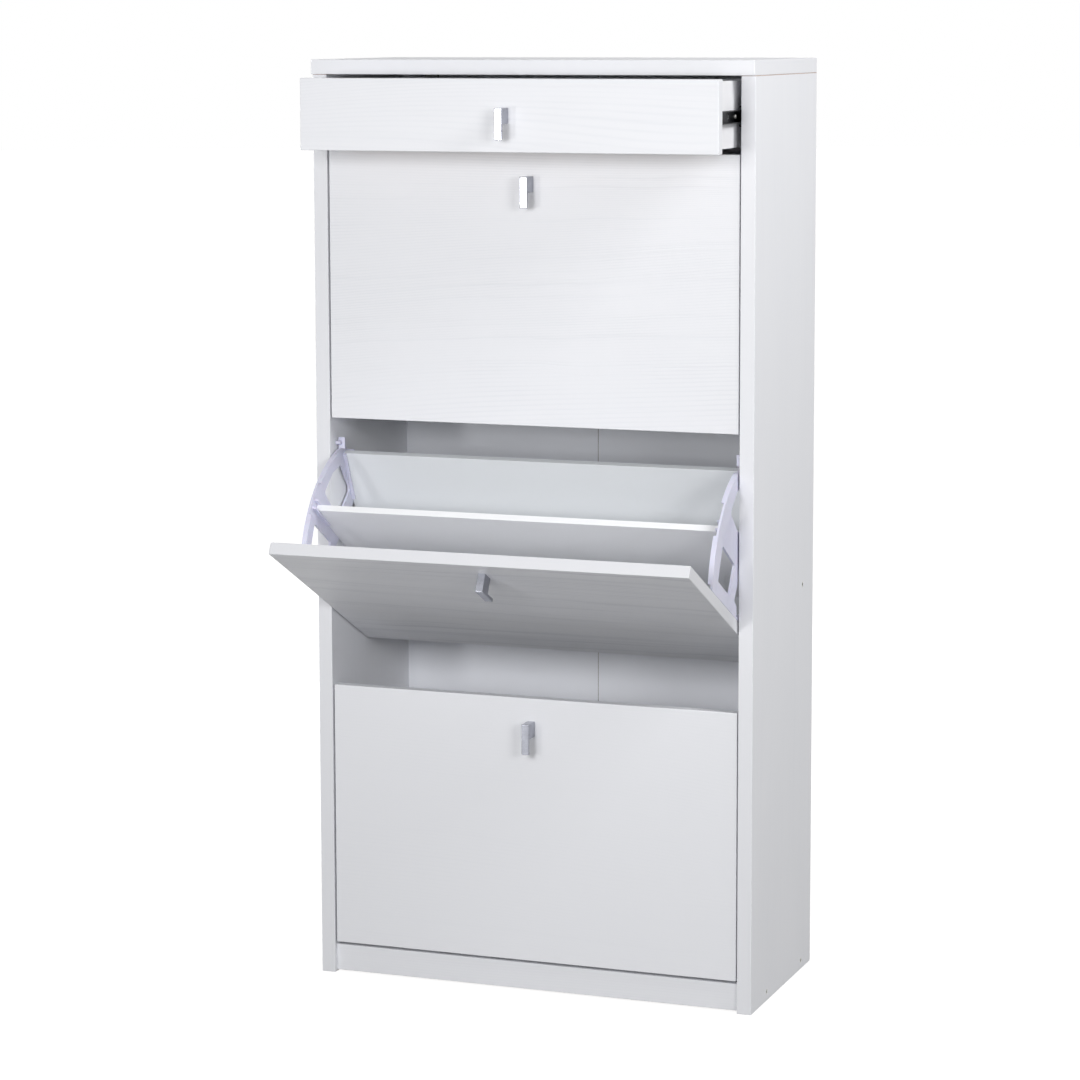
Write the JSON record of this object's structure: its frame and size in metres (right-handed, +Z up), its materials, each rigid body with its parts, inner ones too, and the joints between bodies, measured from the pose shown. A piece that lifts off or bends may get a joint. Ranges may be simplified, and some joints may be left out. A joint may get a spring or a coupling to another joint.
{
  "type": "shoe cabinet",
  "caption": "Tall narrow white shoe cabinet with tip-out flap racks below a shallow drawer on ball runners; shown with a rack tipped open and the drawer part way out.",
  "frame": {"origin": "centre of the bottom of the whole object's box at rest, on the floor", "axes": "+X to the right as one faces the fronts, -Y towards the person who opens them, +Z up"},
  "size_m": [0.6, 0.4707, 1.215],
  "materials": {
    "embossed_white_foil": "white foil embossed with ash grain, on particle board",
    "white_melamine_board": "smooth white melamine on particle board",
    "white_hardboard": "white lacquered hardboard, matt",
    "white_plastic_strip": "matt",
    "moulded_plastic": "off-white moulding, half matt",
    "satin_handle_metal": "satin, silver coloured",
    "black_zinc_steel": "black zinc, half gloss",
    "zinc_steel": "bright zinc",
    "bearing_steel": "bright steel, lightly greased",
    "beech": "raw beech"
  },
  "bodies": {
    "cabinet": {"top_panel": "embossed_white_foil", "side_panel_left": "embossed_white_foil", "side_panel_right": "embossed_white_foil", "bottom_panel": "white_melamine_board", "plinth": "embossed_white_foil", "rear_rail": "white_melamine_board", "back_sheet_left": "white_hardboard", "back_sheet_right": "white_hardboard", "back_joint_strip": "white_plastic_strip", "confirmat_screws": "zinc_steel", "carcass_dowels": "beech", "cam_locks": "zinc_steel", "cam_bolts": "zinc_steel", "runner_channel_left": "black_zinc_steel", "runner_channel_right": "black_zinc_steel", "runner_channel_screws": "zinc_steel", "pivot_pins": "zinc_steel", "stop_pins": "moulded_plastic", "wall_brackets": "zinc_steel", "wall_bracket_screws": "zinc_steel"},
    "drawer": {"drawer_front": "embossed_white_foil", "drawer_side_left": "white_melamine_board", "drawer_side_right": "white_melamine_board", "drawer_back": "white_melamine_board", "drawer_bottom": "white_hardboard", "drawer_handle": "satin_handle_metal", "drawer_dowels": "beech", "drawer_cam_locks": "zinc_steel", "drawer_cam_bolts": "zinc_steel", "drawer_screws": "zinc_steel", "runner_slide_left": "black_zinc_steel", "runner_slide_right": "black_zinc_steel", "runner_slide_screws": "zinc_steel"},
    "ball_cage_left": {"ball_cage_left": "bearing_steel"},
    "ball_cage_right": {"ball_cage_right": "bearing_steel"},
    "upper_rack": {"upper_flap": "embossed_white_foil", "upper_frame_left": "moulded_plastic", "upper_frame_right": "moulded_plastic", "upper_middle_board": "white_melamine_board", "upper_rear_board": "white_melamine_board", "upper_toe_board": "white_melamine_board", "upper_handle": "satin_handle_metal", "upper_screws": "zinc_steel"},
    "middle_rack": {"middle_flap": "embossed_white_foil", "middle_frame_left": "moulded_plastic", "middle_frame_right": "moulded_plastic", "middle_middle_board": "white_melamine_board", "middle_rear_board": "white_melamine_board", "middle_toe_board": "white_melamine_board", "middle_handle": "satin_handle_metal", "middle_screws": "zinc_steel"},
    "lower_rack": {"lower_flap": "embossed_white_foil", "lower_frame_left": "moulded_plastic", "lower_frame_right": "moulded_plastic", "lower_middle_board": "white_melamine_board", "lower_rear_board": "white_melamine_board", "lower_toe_board": "white_melamine_board", "lower_handle": "satin_handle_metal", "lower_screws": "zinc_steel"}
  },
  "joints": [
    {"name": "drawer_slide", "type": "slide", "parent": "cabinet", "child": "drawer", "axis": [0, -1, 0], "range_m": [-0.088, 0.062]},
    {"name": "ball_cage_left_roll", "type": "slide", "parent": "cabinet", "child": "ball_cage_left", "axis": [0, -1, 0], "range_m": [-0.044, 0.031]},
    {"name": "ball_cage_right_roll", "type": "slide", "parent": "cabinet", "child": "ball_cage_right", "axis": [0, -1, 0], "range_m": [-0.044, 0.031]},
    {"name": "upper_rack_tilt", "type": "hinge", "parent": "cabinet", "child": "upper_rack", "pos_m": [0, -0.01396, 0.86], "axis": [1, 0, 0], "range_deg": [0, 62.7]},
    {"name": "middle_rack_tilt", "type": "hinge", "parent": "cabinet", "child": "middle_rack", "pos_m": [0, -0.01396, 0.507], "axis": [1, 0, 0], "range_deg": [-62.7, 0]},
    {"name": "lower_rack_tilt", "type": "hinge", "parent": "cabinet", "child": "lower_rack", "pos_m": [0, -0.01396, 0.154], "axis": [1, 0, 0], "range_deg": [0, 62.7]}
  ],
  "couplings": [
    {"joint": "ball_cage_left_roll", "follows": "drawer_slide", "ratio": 0.5},
    {"joint": "ball_cage_right_roll", "follows": "drawer_slide", "ratio": 0.5}
  ]
}
